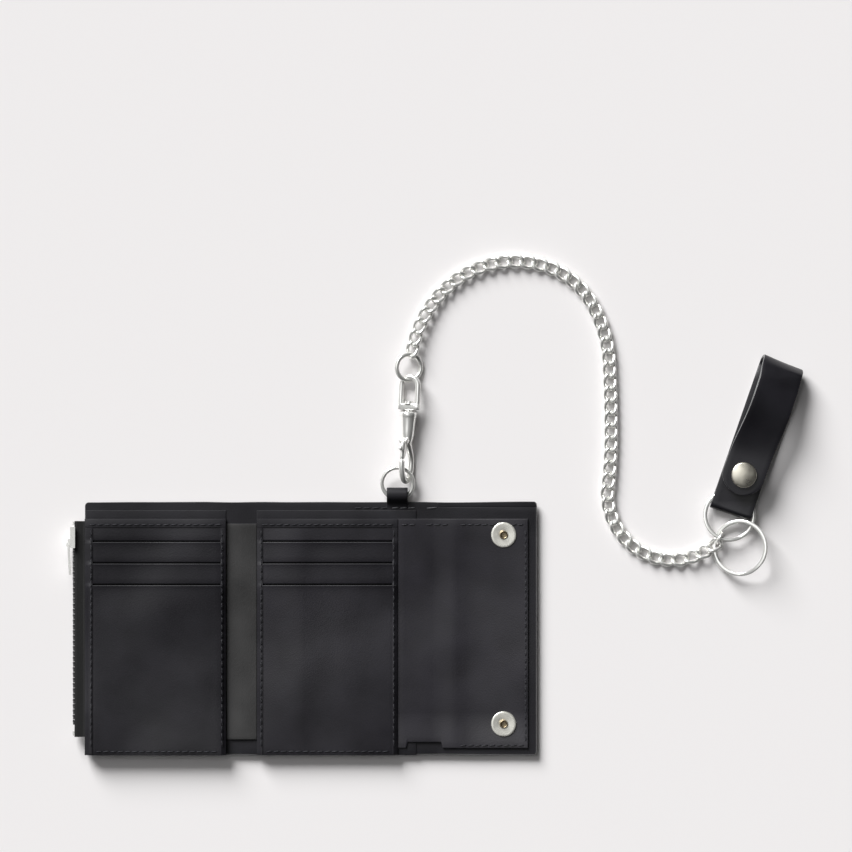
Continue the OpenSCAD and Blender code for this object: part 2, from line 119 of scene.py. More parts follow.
def loose_parts(node):
    """The points of each separate solid in a node."""
    unique, index = np.unique(points(node).round(4), axis=0, return_inverse=True)
    index = index.ravel()
    parent = list(range(len(unique)))

    def root(i):
        while parent[i] != i:
            parent[i] = parent[parent[i]]
            i = parent[i]
        return i

    for e in frame["nodes"][node].data.edges:
        a, b = root(index[e.vertices[0]]), root(index[e.vertices[1]])
        if a != b:
            parent[a] = b
    groups = {}
    for i in range(len(unique)):
        groups.setdefault(root(i), []).append(i)
    return [unique[g] for _, g in sorted(groups.items())]


lo_left, hi_left = box("shell_left")
hi_flap = box("shell_flap")[1]
fold_1, fold_2 = joint("left_panel_fold")[0][0], joint("left_spine_fold")[0][0]
fold_3, fold_4 = joint("right_spine_fold")[0][0], joint("flap_fold")[0][0]
mid_left, mid_right, mid = (fold_1 + fold_2) / 2, (fold_3 + fold_4) / 2, 0.0
shell_z = (lo_left[2], hi_left[2])
shell_y = (lo_left[1], hi_left[1])
panel_top = box("coin_pocket_front")[1][1]
strap_y = box("belt_strap")[0][1], box("belt_strap")[1][1]


# ------------------------ materials

def material(name):
    m = bpy.data.materials.new(name)
    m.use_nodes = True
    return m, m.node_tree, m.node_tree.nodes["Principled BSDF"]


def object_space(tree, vector_input):
    coord = tree.nodes.new("ShaderNodeTexCoord")
    tree.links.new(coord.outputs["Object"], vector_input)


def tex(tree, kind, scale, **inputs):
    """A texture in object space, in features per metre."""
    node = tree.nodes.new(kind)
    object_space(tree, node.inputs["Vector"])
    node.inputs["Scale"].default_value = scale
    for k, v in inputs.items():
        node.inputs[k].default_value = v
    return node


def ramp(tree, source, stops):
    """A colour ramp; each stop is a position and a colour or a single grey."""
    node = tree.nodes.new("ShaderNodeValToRGB")
    tree.links.new(source, node.inputs["Fac"])
    for i, (at, colour) in enumerate(stops):
        e = node.color_ramp.elements[i] if i < 2 else node.color_ramp.elements.new(at)
        e.position = at
        e.color = (*colour, 1) if len(colour) == 3 else (colour[0],) * 3 + (1,)
    return node.outputs["Color"]


def bump(tree, height, strength, distance, onto=None):
    node = tree.nodes.new("ShaderNodeBump")
    node.inputs["Strength"].default_value = strength
    node.inputs["Distance"].default_value = distance
    tree.links.new(height, node.inputs["Height"])
    if onto is not None:
        tree.links.new(onto, node.inputs["Normal"])
    return node.outputs["Normal"]


def leather(name, base, rough=0.42, grain=0.25, waves=1.0, gloss=0.4, slopes=()):
    """Grained leather.

    grain is the strength of the pores and waves the height of the broad unevenness. slopes are soft tilts
    that catch the light, each an axis, a start and an end on it and a rise, in mm.
    """
    m, t, b = material(name)
    cells = tex(t, "ShaderNodeTexVoronoi", 1500.0)
    fine = tex(t, "ShaderNodeTexNoise", 5200.0, Detail=3.0)
    broad = tex(t, "ShaderNodeTexNoise", 15.0, Detail=1.5, Roughness=0.35)
    tone = tex(t, "ShaderNodeTexNoise", 60.0, Detail=4.0)
    dark, light = [c * 0.8 for c in base], [c * 1.35 for c in base]
    colour = ramp(t, tone.outputs["Fac"], [(0.3, dark), (0.72, light)])
    t.links.new(colour, b.inputs["Base Color"])
    polish = ramp(t, tone.outputs["Fac"], [(0.3, (rough * 0.88,)), (0.7, (rough * 1.15,))])
    t.links.new(polish, b.inputs["Roughness"])
    b.inputs["Specular IOR Level"].default_value = gloss
    n = bump(t, broad.outputs["Fac"], 1.0, waves * 0.007)
    if slopes:
        split = t.nodes.new("ShaderNodeSeparateXYZ")
        object_space(t, split.inputs["Vector"])
    for axis, start, end, rise in slopes:
        step = t.nodes.new("ShaderNodeMapRange")
        step.interpolation_type = "SMOOTHSTEP"
        step.inputs["From Min"].default_value = start * MM
        step.inputs["From Max"].default_value = end * MM
        t.links.new(split.outputs[axis], step.inputs["Value"])
        n = bump(t, step.outputs["Result"], 1.0, rise * MM, n)
    n = bump(t, cells.outputs["Distance"], grain, 0.00012, n)
    n = bump(t, fine.outputs["Fac"], grain * 0.8, 0.00005, n)
    t.links.new(n, b.inputs["Normal"])
    return m


def metal(name, colour, rough, speck=0.04, metallic=1.0):
    """Plated metal with faint smudges; speck is the strength of its fine pitting."""
    m, t, b = material(name)
    b.inputs["Metallic"].default_value = metallic
    smudge = tex(t, "ShaderNodeTexNoise", 260.0, Detail=4.0)
    fine = tex(t, "ShaderNodeTexNoise", 3500.0, Detail=2.0)
    tone = ramp(t, smudge.outputs["Fac"], [(0.3, [c * 0.93 for c in colour]), (0.7, colour)])
    t.links.new(tone, b.inputs["Base Color"])
    polish = ramp(t, smudge.outputs["Fac"], [(0.35, (rough * 0.8,)), (0.7, (rough * 1.25,))])
    t.links.new(polish, b.inputs["Roughness"])
    t.links.new(bump(t, fine.outputs["Fac"], speck, 0.00003), b.inputs["Normal"])
    return m


def woven(name, base, rib, rough=0.8):
    """Thread or cloth, with rib threads to the metre."""
    m, t, b = material(name)
    wave = tex(t, "ShaderNodeTexWave", rib, Distortion=0.6, Detail=1.0)
    wave.bands_direction = "Y"
    cross = tex(t, "ShaderNodeTexWave", rib * 1.7, Distortion=0.4, Detail=1.0)
    cross.bands_direction = "X"
    dark, light = [c * 0.6 for c in base], [c * 1.3 for c in base]
    t.links.new(ramp(t, wave.outputs["Color"], [(0.1, dark), (0.9, light)]), b.inputs["Base Color"])
    b.inputs["Roughness"].default_value = rough
    n = bump(t, wave.outputs["Color"], 0.5, 0.00012)
    t.links.new(bump(t, cross.outputs["Color"], 0.4, 0.00008, n), b.inputs["Normal"])
    return m


# soft tilts of the leather that turn its sheen where the photo shows it turned; they are only in the bump
centre_slopes = [("X", fold_2 + 1.4, fold_2 + 23.4, 2.6)]
flap_slopes = [("X", fold_4 + 4.8, fold_4 + 46.8, 5.4), ("X", fold_4 - 10.2, fold_4 + 1.8, 0.8),
               ("Y", shell_y[0] - 2.5, shell_y[0] + 19.5, -3.0)]
strap_slopes = [("Y", strap_y[1] - 11.2, strap_y[1] - 0.2, -2.4),
                ("Y", strap_y[0] + 0.3, strap_y[0] + 9.3, -1.6)]

M = {name: kind(name, *look) for name, kind, *look in (
    ("shell_leather", leather, (0.0100, 0.0096, 0.0120), 0.54, 0.3, 0.5, 0.24),
    ("panel_leather", leather, (0.0092, 0.0086, 0.0114), 0.47, 0.24, 1.5, 0.36),
    ("center_leather", leather, (0.0092, 0.0084, 0.0116), 0.47, 0.24, 1.2, 0.35, centre_slopes),
    ("flap_leather", leather, (0.0086, 0.0076, 0.0114), 0.47, 0.24, 1.0, 0.38, flap_slopes),
    ("spine_leather", leather, (0.026, 0.0255, 0.0255), 0.42, 0.3, 0.8),
    ("strap_leather", leather, (0.0080, 0.0076, 0.0102), 0.34, 0.12, 0.6, 0.5, strap_slopes),
    ("edge", leather, (0.045, 0.045, 0.048), 0.6, 0.5),
    # painted shade: the near-black band in the mouth of each card slot, just above the next layer's lip
    ("crease", leather, (0.0012, 0.0012, 0.0014), 0.9, 0.1, 0.0, 0.05),
    ("cut_edge", leather, (0.15, 0.15, 0.15), 0.6, 0.4, 0.0),
    ("strap_edge", leather, (0.17, 0.17, 0.17), 0.6, 0.4),
    ("lining_fabric", woven, (0.014, 0.014, 0.015), 1800.0),
    ("zip_tape", woven, (0.010, 0.010, 0.010), 900.0),
    ("thread", woven, (0.020, 0.020, 0.026), 2600.0, 0.45),
    # painted highlight: pale thread where the stitches over the ring tab catch the light
    ("thread_pale", woven, (0.11, 0.11, 0.12), 2600.0, 0.45),
    ("snap_nickel", metal, (0.88, 0.87, 0.80), 0.34, 0.12, 0.85),
    ("cap_nickel", metal, (0.80, 0.765, 0.66), 0.32, 0.12),
    ("snap_brass", metal, (0.33, 0.27, 0.18), 0.36),
    ("zip_metal", metal, (0.86, 0.86, 0.83), 0.22, 0.04, 0.8),
    ("zip_dark", metal, (0.10, 0.10, 0.10), 0.35),
    ("chain_nickel", metal, (0.96, 0.96, 0.93), 0.13, 0.04, 0.66),
)}


# ------------------------ mesh builders

def add(name, verts, faces, mats, index=None, smooth=True, sharp=None):
    """A mesh object from points in mm; index picks each face's material, sharp is an angle in degrees."""
    mesh = bpy.data.meshes.new(name)
    mesh.from_pydata([tuple(float(c) * MM for c in v) for v in verts], [], faces)
    for m in mats:
        mesh.materials.append(M[m])
    if index is not None:
        mesh.polygons.foreach_set("material_index", index)
    mesh.polygons.foreach_set("use_smooth", [smooth] * len(mesh.polygons))
    if sharp is not None:
        mesh.set_sharp_from_angle(angle=math.radians(sharp))
    mesh.validate()
    mesh.update()
    o = bpy.data.objects.new(name, mesh)
    bpy.context.scene.collection.objects.link(o)
    return o


def place(o, body, slot, *nodes):
    """Ride on a body and stand for the nodes; slot is not used."""
    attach(o, body)
    if nodes:
        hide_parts(*nodes)


def piece(name, parts, finish, body, slot, *nodes, **look):
    """Several (verts, faces) as one piece."""
    place(add(name, *merge(parts), [finish], **look), body, slot, *nodes)


def nickel(name, parts, body, node, **look):
    piece(name, parts, "chain_nickel", body, "chain_nickel", node, **look)


def lines(a, b, ea, eb, corner, cell, extra=()):
    """Grid lines from a to b, close together at a rounded edge."""
    near = [0, 0.08, 0.3, 0.6, 1.0]
    left = [a + ea * s for s in near] if ea else [a]
    right = [b - eb * s for s in near] if eb else [b]
    if corner and ea:
        left += [a + corner * s for s in (0.35, 0.7, 1.0)]
    if corner and eb:
        right += [b - corner * s for s in (0.35, 0.7, 1.0)]
    lo, hi = max(left), min(right)
    n = max(1, int(round((hi - lo) / cell)))
    mid = list(np.linspace(lo, hi, n + 1))
    every = sorted(set(round(v, 4) for v in left + right + mid + [e for e in extra if lo < e < hi]))
    keep = [every[0]]
    for v in every[1:]:
        if v - keep[-1] > 0.012:
            keep.append(v)
    return np.array(keep)


def flat(x, y):
    return 0.0


FAR = 99.0  # the distance to an edge that isn't rounded


def panel(name, x, y, z, mats, sides="lrbt", corner=0.0, edge=0.25, cell=3.0,
          relief=flat, lift=None, plan=None, height=None, extra=(), extra_y=(), pale="", crease=None):
    """A sheet of leather with rounded edges on the named sides.

    relief moves the whole sheet up, lift only its top, plan moves points in XY, and height(x) gives
    the lower and upper face where they aren't level. pale names sides whose whole rounding shows the
    second material, and the last argument is a band of y on the top face that takes the third, a
    near-black material that paints the shade in a slot's mouth.
    """
    edge = min(edge, (z[1] - z[0]) / 2 * 0.98)
    ex = [edge if s in sides else 0 for s in "lr"]
    ey = [edge if s in sides else 0 for s in "bt"]
    xs = lines(x[0], x[1], ex[0], ex[1], corner, cell, extra)
    ys = lines(y[0], y[1], ey[0], ey[1], corner, cell, extra_y)
    top, bottom, near, pale_near = [], [], [], []
    for py in ys:
        for px in xs:
            d = [px - x[0] if "l" in sides else FAR, x[1] - px if "r" in sides else FAR,
                 py - y[0] if "b" in sides else FAR, y[1] - py if "t" in sides else FAR]
            least = min(d)
            drop = edge - math.sqrt(max(0.0, edge ** 2 - (edge - least) ** 2)) if least < edge else 0.0
            qx, qy = px, py
            if corner:
                a = corner - min(d[0], d[1])
                b = corner - min(d[2], d[3])
                if a > 0 and b > 0:
                    s = max(a, b) / math.hypot(a, b)
                    qx = x[0] + corner - a * s if d[0] < d[1] else x[1] - corner + a * s
                    qy = y[0] + corner - b * s if d[2] < d[3] else y[1] - corner + b * s
            if plan:
                qx, qy = plan(qx, qy)
            z0, z1 = height(px) if height else z
            r = relief(qx, qy)
            up = lift(qx, qy) if lift else 0.0
            top.append((qx, qy, z1 - drop + r + up))
            bottom.append((qx, qy, z0 + drop + r + up * 0.75))
            near.append(least)
            pale_near.append(min([FAR] + [d["lrbt".index(side)] for side in pale]))
    nx, ny = len(xs), len(ys)
    off = nx * ny
    faces, index = [], []
    for j in range(ny - 1):
        for i in range(nx - 1):
            a = j * nx + i
            q = (a, a + 1, a + 1 + nx, a + nx)
            at_edge = max(near[v] for v in q) <= 0.31 * edge or max(pale_near[v] for v in q) <= 1.01 * edge
            faces.append(q)
            # faces in that band take the painted shade of the slot's mouth
            in_painted_slot_shade = crease and crease[0] <= (ys[j] + ys[j + 1]) / 2 <= crease[1]
            index.append(2 if in_painted_slot_shade else 1 if at_edge else 0)
            faces.append(tuple(off + v for v in reversed(q)))
            index.append(1 if at_edge else 0)
    loop = (list(range(nx)) + [j * nx + nx - 1 for j in range(1, ny)]
            + [(ny - 1) * nx + i for i in range(nx - 2, -1, -1)] + [j * nx for j in range(ny - 2, 0, -1)])
    for k, a in enumerate(loop):
        b = loop[(k + 1) % len(loop)]
        faces.append((b, a, a + off, b + off))
        index.append(1)
    return add(name, top + bottom, faces, mats, index, sharp=75)


def between(rows, sides, closed=False):
    """Quads between neighbouring rows of points; closed joins the last row to the first."""
    faces = []
    for i in range(rows if closed else rows - 1):
        a, b = i * sides, (i + 1) % rows * sides
        for k in range(sides):
            k2 = (k + 1) % sides
            faces.append((a + k, a + k2, b + k2, b + k))
    return faces


def end_caps(rows, sides):
    """A face over the first row of points and one over the last."""
    return [tuple(range(sides - 1, -1, -1)), tuple((rows - 1) * sides + k for k in range(sides))]


def sweep(path, radius, sides=12, normal=None, closed=False):
    """Vertices and faces of a round tube; radius is a number or one per point."""
    path = np.asarray(path, float)
    n = len(path)
    radius = np.full(n, radius, float) if np.isscalar(radius) else np.asarray(radius, float)
    if closed:
        tangent = np.roll(path, -1, 0) - np.roll(path, 1, 0)
    else:
        tangent = np.gradient(path, axis=0)
    tangent /= np.linalg.norm(tangent, axis=1)[:, None]
    ref = unit(normal) if normal is not None else unit(np.cross(tangent[0], [0.3, 0.2, 1.0]))
    verts = []
    for i in range(n):
        v = ref - tangent[i] * (ref @ tangent[i])
        if normal is None:
            ref = unit(v)
        v = unit(v)
        u = np.cross(tangent[i], v)
        for k in range(sides):
            a = 2 * math.pi * k / sides
            verts.append(path[i] + radius[i] * (math.cos(a) * u + math.sin(a) * v))
    return verts, between(n, sides, closed) + ([] if closed else end_caps(n, sides))


def merge(parts):
    """Join several (verts, faces) into one."""
    verts, faces = [], []
    for v, f in parts:
        base = len(verts)
        verts += [tuple(p) for p in v]
        faces += [tuple(base + i for i in q) for q in f]
    return verts, faces


def lathe(profile, origin, axis, segments=48, closed=False):
    """Turn (radius, height) points about an axis through origin."""
    axis = unit(axis)
    u = unit(np.cross(axis, [0.13, 0.97, 0.2]) if abs(axis[1]) < 0.9 else np.cross(axis, [1, 0.1, 0]))
    v = np.cross(axis, u)
    verts = [origin + r * (math.cos(a) * u + math.sin(a) * v) + h * axis
             for r, h in profile for a in (2 * math.pi * k / segments for k in range(segments))]
    return verts, between(len(profile), segments, closed)


def arc(r0, h0, radius, a0, a1, steps=6):
    """Profile points on an arc about (r0, h0)."""
    return [(r0 + radius * math.cos(math.radians(a)), h0 + radius * math.sin(math.radians(a)))
            for a in np.linspace(a0, a1, steps)]


def blob(centre, radii, frame_axes, steps=12):
    """An ellipsoid along three axes."""
    verts = []
    for i in range(steps + 1):
        t = math.pi * i / steps
        for k in range(2 * steps):
            p = math.pi * k / steps
            local = np.array([math.sin(t) * math.cos(p), math.cos(t), math.sin(t) * math.sin(p)])
            verts.append(centre + (local * radii) @ np.array(frame_axes))
    return verts, between(steps + 1, 2 * steps)


def stitches(name, body, start, end, top, slot="panel_leather", thread="thread", pitch=3.2, width=0.26):
    """A row of thread stitches between two XY points, lying on the surface top(x, y)."""
    s, e = np.array(start, float), np.array(end, float)
    length = np.linalg.norm(e - s)
    d = (e - s) / length
    side = np.array([-d[1], d[0]])
    count = max(1, int(length // pitch))
    step = length / count
    parts = []
    radii = [width * f for f in (0.7, 1.0, 1.05, 1.05, 1.0, 0.7)]
    slant, sink, crown = 0.28, 0.1, 0.3
    for i in range(count):
        line = []
        for t in np.linspace(-0.5, 0.5, len(radii)):
            p = s + d * (step * (i + 0.5) + t * step * 0.8) + side * t * slant
            line.append((p[0], p[1], top(p[0], p[1]) - sink + crown * math.cos(math.pi * t) ** 0.6))
        parts.append(sweep(line, radii, 6, normal=(side[0], side[1], 0)))
    piece(name, parts, thread, body, slot)


# ------------------------ wallet surfaces

def soft(v, a, b):
    """0 at a, 1 at b, smooth between."""
    t = min(1.0, max(0.0, (v - a) / (b - a)))
    return t * t * (3 - 2 * t)


def puff(x0, x1, y0, y1, high, seed):
    """A soft bulge that is nil at the borders."""
    def at(x, y):
        u = min(1.0, max(0.0, (x - x0) / (x1 - x0)))
        v = min(1.0, max(0.0, (y - y0) / (y1 - y0)))
        base = (16 * u * (1 - u) * v * (1 - v)) ** 0.5
        n = noise.noise(Vector((x * 0.035 + seed, y * 0.022, seed * 0.7)))
        return high * base * (0.72 + 0.5 * n)
    return at


beside_fold = 1.9  # a bulge ends this far from its fold
centre_right = box("center_card_pocket")[1][0] + 0.1
puffs = {"left": puff(lo_left[0], fold_1 - beside_fold, shell_y[0], panel_top, 0.26, 3.1),
         "centre": puff(fold_2 + beside_fold, centre_right, shell_y[0], panel_top, 0.24, 7.7)}


def flap_puff(x, y):
    """Low waves across the lining, with a soft ridge at its fold."""
    ridge = 0.07 * math.exp(-((x - fold_4 + 1) / 2.6) ** 2)
    wave = 0.10 * (1 + noise.noise(Vector((x * 0.06, y * 0.03, 4.4))))
    border = soft(hi_flap[0] - 4.2 - x, 0, 8) * soft(y - shell_y[0] - 3, 0, 8) * soft(panel_top - y, 0, 6)
    return (ridge + wave) * border


def shell_plan(x, y):
    """The shell's upper and lower edges waver a little."""
    reach = soft(abs(y), panel_top, shell_y[1])
    return x, y + reach * 0.35 * noise.noise(Vector((x * 0.05, 2.0 if y > 0 else 9.0, 0.3)))


pressed_y = shell_y[1] - 2.3
crease_y = [pressed_y + d for d in (-0.5, -0.25, 0, 0.25, 0.5)]


def shell_relief(x, y):
    """A pressed line near the flap's upper edge."""
    return -0.16 * math.exp(-((y - pressed_y) / 0.22) ** 2) * soft(x, mid_right, mid_right + 4)


near_folds = [f + d for f in (fold_1, fold_2, fold_3, fold_4) for d in np.arange(-2.4, 2.41, 0.4)]
BEND = 2.0  # the stitch rows stop about this far from a fold


def bend(o, nodes):
    """Hide the nodes that a sheet stands for and bake the sheet's transform into its mesh."""
    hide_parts(*nodes)
    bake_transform(o)


for name, x0, x1, sides, a, b, fold, nodes in (
        ("shell_outer_left", lo_left[0], mid_left, "lbt", "left_panel", "left_spine", fold_1, ["shell_left"]),
        ("shell_outer_spine", mid_left, mid, "bt", "left_spine", "center_panel", fold_2,
         ["shell_left_spine"]),
        ("shell_outer_center", mid, mid_right, "bt", "center_panel", "right_spine", fold_3, ["shell_center"]),
        ("shell_outer_flap", mid_right, hi_flap[0], "rbt", "right_spine", "flap", fold_4,
         ["shell_right_spine", "shell_flap"])):
    o = panel(name, (x0, x1), shell_y, shell_z, ["shell_leather", "cut_edge"], sides,
              {"l": 1.7, "r": 1.5}.get(sides[0], 0.0), 0.38, 3.5, flat, shell_relief, shell_plan,
              extra=near_folds, extra_y=crease_y, pale="br" if "r" in sides else "b")
    bend(o, nodes)

# the two stacks of card slots: a wall, then three layers whose lips lift a little
# width of the band of painted shade in each slot's mouth
painted_slot_shade_wide = 0.62
groove_at = 0.42  # the groove's deepest line, above the lower layer's lip


def lip(y_top, below=None, high=0.26, reach=3.0):
    """Lift of a layer's own upper edge, and the groove where the next layer's lip lies on it."""
    def at(x, y):
        up = high * max(0.0, 1 - (y_top - y) / reach) ** 2 if y_top is not None else 0.0
        if below is not None:
            up -= 0.34 * math.exp(-((y - below - groove_at) / 0.3) ** 2)
        return up
    return at


stack = {"left": ["coin_pocket_front", "left_card_slot_upper", "left_card_slot_middle", "left_card_pocket"],
         "centre": ["center_card_backing", "center_card_slot_upper", "center_card_slot_middle",
                    "center_card_pocket"]}
slots_x = {"left": (lo_left[0] + 2.4, box("left_card_pocket")[1][0] - 2.0),
           "centre": (box("center_card_pocket")[0][0] + 1.8, box("center_card_pocket")[1][0] - 0.9)}
wall_x = {"left": (lo_left[0], box("coin_pocket_front")[1][0]),
          "centre": (box("center_card_backing")[0][0], box("center_card_pocket")[1][0])}
bodies = {"left": "left_panel", "centre": "center_panel"}


def surface(part):
    """Height of the topmost layer of a stack at (x, y)."""
    layers = [box(n) for n in stack[part]]

    def at(x, y):
        z = layers[0][1][2]
        if slots_x[part][0] < x < slots_x[part][1]:
            for lo, hi in layers[1:]:
                if y < hi[1]:
                    z = hi[2] + lip(hi[1])(x, y)
        return z + puffs[part](x, y)
    return at


face = {"left": "panel_leather", "centre": "center_leather"}
flap_mats = ["flap_leather", "edge"]
for part, names in stack.items():
    for i, n in enumerate(names):
        lo, hi = box(n)
        x = wall_x[part] if i == 0 else slots_x[part]
        below = box(names[i + 1])[1][1] if i < 3 else None
        fine = [below + d for d in (-0.2, 0.05, 0.25, groove_at, 0.6, 0.8, 1.1)] if below else []
        fine += [hi[1] - d for d in (0.5, 1.0, 1.6)]
        # the third material paints the shade in the slot's mouth, in a band just above the next layer's lip
        o = panel(n + "_leather", x, (lo[1], hi[1]), (lo[2], hi[2]), [face[part], "edge", "crease"],
                  "lrbt", 1.2 if i == 0 and part == "left" else 0.0, 0.22, 3.0, puffs[part],
                  lip(hi[1] if i else None, below), extra_y=fine,
                  crease=(below, below + painted_slot_shade_wide) if below else None)
        place(o, bodies[part], "panel_leather", n)

# border sewn round the slots: it hides their ends and carries the stitching
border_t = 0.32
border = {"left": (slots_x["left"][0] + 1.3, slots_x["left"][1] - 0.4),
          "centre": (slots_x["centre"][0] + 0.9, slots_x["centre"][1] - 1.6)}
border_deep = 3.9
border_y = panel_top - border_deep


def border_rise(part):
    """How far the border lies above the wall: it climbs over the ends of the layers."""
    layers = [box(n) for n in stack[part]]
    base = layers[0][1][2]
    outer, inner = wall_x[part], slots_x[part]

    def at(x, y):
        rise = sum((hi[2] - below_hi[2]) * (1 - soft(y, hi[1] - 0.8, hi[1] + 1.6))
                   for (_, below_hi), (_, hi) in zip(layers, layers[1:]))
        side = min(soft(x, outer[0] + 0.2, inner[0] + 0.3), 1 - soft(x, inner[1] - 0.3, outer[1] - 0.2))
        return rise * side + puffs[part](x, y)
    return at


def border_top(part):
    rise = border_rise(part)
    return lambda x, y: box(stack[part][0])[1][2] + border_t + rise(x, y)


for part, names in stack.items():
    z = box(names[0])[1][2]
    tops = [box(n)[1][1] + d for n in names[1:] for d in (-0.8, -0.4, 0.0, 0.4, 0.8, 1.2, 1.6)]
    side_y = (shell_y[0] + 0.05, border_y)
    for name, x, y, sides, cell in (
            ("border_top", wall_x[part], (border_y, panel_top), "lrbt", 3.0),
            ("border_left", (wall_x[part][0], border[part][0]), side_y, "lrb", 1.2),
            ("border_right", (border[part][1], wall_x[part][1]), side_y, "lrb", 1.2)):
        o = panel(f"{name}_{part}", x, y, (z - 0.05, z + border_t), ["panel_leather", "panel_leather"], sides,
                  0.0, 0.16, cell, border_rise(part), extra_y=tops)
        place(o, bodies[part], "panel_leather")

# lining that runs from the centre panel over the right spine to the flap
lo_lin, hi_lin = box("flap_lining")
hi_back = box("center_card_backing")[1]
lining_t = 0.6  # the lining's thickness where it leaves the centre panel
notch = (fold_3 - 6.2, fold_4 - 5.7)


def lining_plan(x, y):
    """A shallow notch in the lower edge, over the right spine."""
    deep = 2.7 * soft(x, notch[0] - 0.4, notch[0] + 0.4) * (1 - soft(x, notch[1] - 0.4, notch[1] + 0.4))
    t = max(0.0, 1 - (y - lo_lin[1]) / 30)
    return x, y + deep * t * t


def lining_height(x):
    t = soft(x, fold_3 - 3.0, fold_3 + 2.4)
    lower = hi_back[2] - lining_t
    return lower + t * (lo_lin[2] - lower), hi_back[2] + t * (hi_lin[2] - hi_back[2])


notch_lines = [n + d for n in notch for d in (-0.4, -0.15, 0.15, 0.4)]
lining_x, lining_y = (wall_x["centre"][1] + 0.1, mid_right), (lo_lin[1], panel_top)
o = panel("spine_lining", lining_x, lining_y, (0.0, 1.0), flap_mats, "lbt",
          0.0, 0.22, 3.0, flap_puff, None, lining_plan, lining_height, near_folds + notch_lines)
bend(o, ["flap_lining_spine"])
o = panel("flap_lining_leather", (mid_right, hi_lin[0]), lining_y, (lo_lin[2], hi_lin[2]), flap_mats, "rbt",
          0.0, 0.22, 3.0, flap_puff, None, lining_plan, None, near_folds + notch_lines)
bend(o, ["flap_lining"])

# the strip over the left spine, from one panel's edge to the other's
lo_s, hi_s = box("spine_strip")
strip_x = (wall_x["left"][1] + 0.05, wall_x["centre"][0] - 0.05)


def strip_relief(x, y):
    crown = 0.25 * math.sin(math.pi * (x - strip_x[0]) / (strip_x[1] - strip_x[0]))
    return crown + 0.08 * noise.noise(Vector((x * 0.1, y * 0.05, 1.0)))


for name, x, sides, a, b, fold, nodes in (
        ("spine_strip_left", (strip_x[0], mid_left), "lbt", "left_panel", "left_spine", fold_1,
         ["spine_strip"]),
        ("spine_strip_right", (mid_left, strip_x[1]), "rbt", "left_spine", "center_panel", fold_2, [])):
    o = panel(name, x, (lo_s[1], hi_s[1]), (lo_s[2], hi_s[2]), ["spine_leather", "edge"], sides,
              0.0, 0.3, 1.6, strip_relief, extra=near_folds)
    bend(o, nodes)

# banknote pocket linings
sheet_inset = 3.9  # they end below the shell's upper edge
for n, body in (("bill_lining_left", "left_panel"), ("bill_lining_center", "center_panel")):
    lo, hi = box(n)
    o = panel(n + "_sheet", (lo[0], hi[0]), (lo[1], shell_y[1] - sheet_inset), (lo[2], hi[2]),
              ["shell_leather", "edge"], "lrbt", 0.0, 0.18, 3.5)
    place(o, body, "lining_fabric", n)


# ------------------------ stitching

def lining_top(x, y):
    return (lining_height(x)[1] if x < mid_right else hi_lin[2]) + flap_puff(x, y)


row_top, row_bottom = panel_top - 2.6, shell_y[0] + 1.7
side_y = (row_top - 2.4, row_bottom + 2)
for part, name, sides in (("left", "left", ("outer", "inner")), ("centre", "center", ("left", "right"))):
    x0, x1 = border[part][0] - 0.75, border[part][1] + 0.7  # the rows down the border
    first = lo_left[0] + 2 if part == "left" else x0
    top, body = border_top(part), bodies[part]
    stitches(f"stitch_{name}_top", body, (first, row_top), (x1, row_top), top)
    for side, x in zip(sides, (x0, x1)):
        stitches(f"stitch_{name}_{side}", body, (x, side_y[0]), (x, side_y[1]), top)
    stitches(f"stitch_{name}_bottom", body, (x0 + 2, row_bottom), (x1 - 2, row_bottom), surface(part))
over = BEND + 0.5
right_x, low_y = hi_lin[0] - 1.1, lo_lin[1] + 1.2
for name, body, start, end in (
        ("stitch_spine_top_a", "center_panel", (lining_x[0] + 1.4, row_top), (fold_3 - BEND, row_top)),
        ("stitch_spine_top_b", "right_spine", (fold_3 + over, row_top), (fold_4 - over, row_top)),
        ("stitch_flap_top", "flap", (fold_4 + over, row_top), (right_x - 0.5, row_top)),
        ("stitch_flap_right", "flap", (right_x, row_top - 2.4), (right_x, low_y + 1.8)),
        ("stitch_flap_bottom", "flap", (fold_4 + over, low_y), (right_x - 0.5, low_y))):
    stitches(name, body, start, end, lining_top)
tab_lo, tab_hi = box("ring_tab")
tab_row = shell_y[1] - 2.7


def tab_top(x, y):
    """The shell's face, and the tab's root where it lies on it."""
    return shell_z[1] + (0.2 if tab_lo[0] < x < tab_hi[0] else 0.0)


# the pale thread on the stitches over the tab and spine is a painted highlight
for name, body, x0, x1, thread in (
        ("stitch_tab_dark", "center_panel", tab_lo[0] - 15, tab_lo[0] + 1, "thread"),
        ("stitch_tab_painted_highlight", "center_panel", tab_lo[0] + 2, fold_3 - 2.2, "thread_pale"),
        ("stitch_tab_spine", "right_spine", fold_3 + 2.4, fold_3 + 8, "thread_pale")):
    stitches(name, body, (x0, tab_row), (x1, tab_row), tab_top, "shell_leather", thread)


# ------------------------ ribbons of leather

